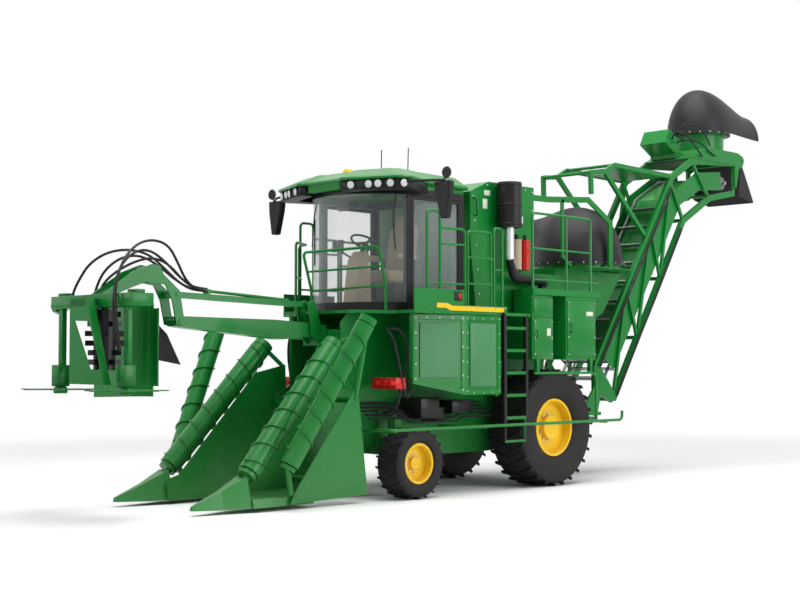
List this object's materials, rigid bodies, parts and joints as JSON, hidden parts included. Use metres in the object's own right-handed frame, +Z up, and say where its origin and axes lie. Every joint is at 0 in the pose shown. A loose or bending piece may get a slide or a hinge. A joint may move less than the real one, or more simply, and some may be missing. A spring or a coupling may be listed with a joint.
{
  "type": "sugarcane harvester",
  "caption": "Wheeled single-row sugarcane harvester with crop divider scrolls, topper, cab, extractor hoods and slewing elevator.",
  "frame": {"origin": "on the ground under the middle of the machine's box", "axes": "+X the way it drives, +Y its left side, +Z up"},
  "size_m": [13.97, 3.4298, 6.3803],
  "materials": {
    "tyre": "ribbed, matt",
    "rim_yellow": "gloss paint",
    "green_paint": "gloss paint",
    "light_green": "gloss paint",
    "charcoal": "satin",
    "black_frame": "satin paint",
    "steel": "worn",
    "glass": "clear, tinted",
    "seat_cloth": "woven",
    "console": "moulded",
    "engine_grey": "painted",
    "red_bottle": "gloss",
    "mirror": "moulded"
  },
  "bodies": {
    "chassis": {"air_intake": "charcoal", "cab_frame": "black_frame", "cab_glass": "glass", "cab_roof": "green_paint", "cabinets": "green_paint", "chassis_frame": "green_paint", "decks": "green_paint", "engine": "engine_grey", "engine_hood": "green_paint", "extinguishers": "red_bottle", "extractor_base": "green_paint", "final_drives": "green_paint", "front_legs": "green_paint", "handrails": "green_paint", "ladder": "green_paint", "lamp_band": "black_frame", "low_rails": "green_paint", "mirrors": "mirror", "seat": "seat_cloth", "steering_console": "console", "tanks": "light_green", "tow_tongue": "green_paint"},
    "rear_wheel_left": {"rear_tyre_left": "tyre", "rear_rim_left": "rim_yellow"},
    "rear_wheel_right": {"rear_tyre_right": "tyre", "rear_rim_right": "rim_yellow"},
    "knuckle_left": {"knuckle_left": "green_paint"},
    "knuckle_right": {"knuckle_right": "green_paint"},
    "front_wheel_left": {"front_tyre_left": "tyre", "front_rim_left": "rim_yellow"},
    "front_wheel_right": {"front_tyre_right": "tyre", "front_rim_right": "rim_yellow"},
    "cab_door_left": {"cab_door_left": "black_frame"},
    "cab_door_right": {"cab_door_right": "black_frame"},
    "side_door_left": {"side_door_left": "green_paint"},
    "side_door_right": {"side_door_right": "green_paint"},
    "primary_fan": {"primary_fan": "steel"},
    "primary_hood": {"primary_hood": "charcoal"},
    "elevator_slew": {"slew_frame": "green_paint"},
    "elevator": {"elevator_frame": "green_paint", "elevator_chain": "steel", "secondary_chamber": "green_paint"},
    "secondary_fan": {"secondary_fan": "steel"},
    "secondary_hood": {"secondary_hood": "charcoal"},
    "bin_flap": {"bin_flap": "charcoal"},
    "topper_boom": {"topper_boom": "green_paint"},
    "topper_link": {"topper_link": "green_paint"},
    "topper_head": {"topper_head": "green_paint"},
    "topper_drum": {"topper_drum": "green_paint"},
    "gatherer_left": {"gatherer_left": "green_paint"},
    "gatherer_right": {"gatherer_right": "green_paint"},
    "divider_left": {"divider_left": "green_paint"},
    "divider_right": {"divider_right": "green_paint"},
    "inner_scroll_left": {"inner_scroll_left": "green_paint"},
    "inner_scroll_right": {"inner_scroll_right": "green_paint"},
    "outer_scroll_left": {"outer_scroll_left": "green_paint"},
    "outer_scroll_right": {"outer_scroll_right": "green_paint"},
    "base_cutter_left": {"base_cutter_left": "steel"},
    "base_cutter_right": {"base_cutter_right": "steel"},
    "knockdown_roller": {"knockdown_roller": "green_paint"}
  },
  "joints": [
    {"name": "rear_roll_left", "type": "hinge", "parent": "chassis", "child": "rear_wheel_left", "pos_m": [-0.175, 0.92, 0.8], "axis": [0, 1, 0], "continuous": true},
    {"name": "steer_left", "type": "hinge", "parent": "chassis", "child": "knuckle_left", "pos_m": [2.505, 0.7, 0.85], "axis": [0, 0, 1], "range_deg": [-30, 30]},
    {"name": "front_roll_left", "type": "hinge", "parent": "knuckle_left", "child": "front_wheel_left", "pos_m": [2.505, 1, 0.44], "axis": [0, 1, 0], "continuous": true},
    {"name": "cab_door_open_left", "type": "hinge", "parent": "chassis", "child": "cab_door_left", "pos_m": [1.3753, 0.83, 2.6], "axis": [0, 0, 1], "range_deg": [0, 20]},
    {"name": "side_door_open_left", "type": "hinge", "parent": "chassis", "child": "side_door_left", "pos_m": [1.055, 1.245, 1.8], "axis": [0, 0, 1], "range_deg": [0, 95]},
    {"name": "divider_lift_left", "type": "hinge", "parent": "chassis", "child": "divider_left", "pos_m": [3.245, 0.5, 0.9], "axis": [0, -1, 0], "range_deg": [0, 12]},
    {"name": "inner_scroll_turn_left", "type": "hinge", "parent": "divider_left", "child": "inner_scroll_left", "pos_m": [4.885, 0.748, 0.44], "axis": [-0.6856, -0.045, 0.7266], "continuous": true},
    {"name": "outer_scroll_turn_left", "type": "hinge", "parent": "divider_left", "child": "outer_scroll_left", "pos_m": [4.545, 1.06, 0.52], "axis": [-0.4718, 0.1796, 0.8632], "continuous": true},
    {"name": "base_cutter_turn_left", "type": "hinge", "parent": "chassis", "child": "base_cutter_left", "pos_m": [2.775, 0.235, 0.3], "axis": [0, 0, 1], "continuous": true},
    {"name": "gatherer_turn_left", "type": "hinge", "parent": "topper_head", "child": "gatherer_left", "pos_m": [6.475, 0.64, 1.38], "axis": [0, 0, 1], "continuous": true},
    {"name": "rear_roll_right", "type": "hinge", "parent": "chassis", "child": "rear_wheel_right", "pos_m": [-0.175, -0.92, 0.8], "axis": [0, 1, 0], "continuous": true},
    {"name": "steer_right", "type": "hinge", "parent": "chassis", "child": "knuckle_right", "pos_m": [2.505, -0.7, 0.85], "axis": [0, 0, 1], "range_deg": [-30, 30]},
    {"name": "front_roll_right", "type": "hinge", "parent": "knuckle_right", "child": "front_wheel_right", "pos_m": [2.505, -1, 0.44], "axis": [0, 1, 0], "continuous": true},
    {"name": "cab_door_open_right", "type": "hinge", "parent": "chassis", "child": "cab_door_right", "pos_m": [1.3753, -0.83, 2.6], "axis": [0, 0, -1], "range_deg": [0, 20]},
    {"name": "side_door_open_right", "type": "hinge", "parent": "chassis", "child": "side_door_right", "pos_m": [1.055, -1.245, 1.8], "axis": [0, 0, -1], "range_deg": [0, 95]},
    {"name": "divider_lift_right", "type": "hinge", "parent": "chassis", "child": "divider_right", "pos_m": [3.245, -0.5, 0.9], "axis": [0, -1, 0], "range_deg": [0, 12]},
    {"name": "inner_scroll_turn_right", "type": "hinge", "parent": "divider_right", "child": "inner_scroll_right", "pos_m": [4.885, -0.748, 0.44], "axis": [-0.6856, 0.045, 0.7266], "continuous": true},
    {"name": "outer_scroll_turn_right", "type": "hinge", "parent": "divider_right", "child": "outer_scroll_right", "pos_m": [4.545, -1.06, 0.52], "axis": [-0.4718, -0.1796, 0.8632], "continuous": true},
    {"name": "base_cutter_turn_right", "type": "hinge", "parent": "chassis", "child": "base_cutter_right", "pos_m": [2.775, -0.235, 0.3], "axis": [0, 0, 1], "continuous": true},
    {"name": "gatherer_turn_right", "type": "hinge", "parent": "topper_head", "child": "gatherer_right", "pos_m": [6.475, -0.64, 1.38], "axis": [0, 0, 1], "continuous": true},
    {"name": "knockdown_roller_turn", "type": "hinge", "parent": "chassis", "child": "knockdown_roller", "pos_m": [3.385, 0, 1.18], "axis": [0, 1, 0], "continuous": true},
    {"name": "boom_lift", "type": "hinge", "parent": "chassis", "child": "topper_boom", "pos_m": [3.325, 0, 2.1], "axis": [0, -1, 0], "range_deg": [-12, 35]},
    {"name": "topper_link_swing", "type": "hinge", "parent": "chassis", "child": "topper_link", "pos_m": [3.375, 0, 2.41], "axis": [0, -1, 0], "range_deg": [-12, 35]},
    {"name": "topper_level", "type": "hinge", "parent": "topper_boom", "child": "topper_head", "pos_m": [5.385, 0, 2.16], "axis": [0, -1, 0], "range_deg": [-35, 12]},
    {"name": "topper_drum_turn", "type": "hinge", "parent": "topper_head", "child": "topper_drum", "pos_m": [6.325, 0, 1.9], "axis": [0, 0, 1], "continuous": true},
    {"name": "primary_fan_turn", "type": "hinge", "parent": "chassis", "child": "primary_fan", "pos_m": [-2.225, 0, 3.123], "axis": [0, 0, 1], "continuous": true},
    {"name": "primary_hood_turn", "type": "hinge", "parent": "chassis", "child": "primary_hood", "pos_m": [-2.225, 0, 3.2], "axis": [0, 0, 1], "range_deg": [-20, 110]},
    {"name": "elevator_slew", "type": "hinge", "parent": "chassis", "child": "elevator_slew", "pos_m": [-1.725, 0, 0.9], "axis": [0, 0, 1], "range_deg": [-85, 85]},
    {"name": "elevator_lift", "type": "hinge", "parent": "elevator_slew", "child": "elevator", "pos_m": [-2.075, 0, 1.33], "axis": [0, 1, 0], "range_deg": [-25, 0]},
    {"name": "secondary_fan_turn", "type": "hinge", "parent": "elevator", "child": "secondary_fan", "pos_m": [-5.655, 0, 5.46], "axis": [0, 0, 1], "continuous": true},
    {"name": "secondary_hood_turn", "type": "hinge", "parent": "elevator", "child": "secondary_hood", "pos_m": [-5.655, 0, 5.6], "axis": [0, 0, 1], "range_deg": [-90, 90]},
    {"name": "bin_flap_swing", "type": "hinge", "parent": "elevator", "child": "bin_flap", "pos_m": [-6.255, 0, 5.16], "axis": [0, 1, 0], "range_deg": [0, 40]}
  ],
  "couplings": [
    {"joint": "steer_right", "follows": "steer_left", "ratio": 1},
    {"joint": "topper_link_swing", "follows": "boom_lift", "ratio": 1},
    {"joint": "topper_level", "follows": "boom_lift", "ratio": -1},
    {"joint": "base_cutter_turn_right", "follows": "base_cutter_turn_left", "ratio": -1}
  ]
}
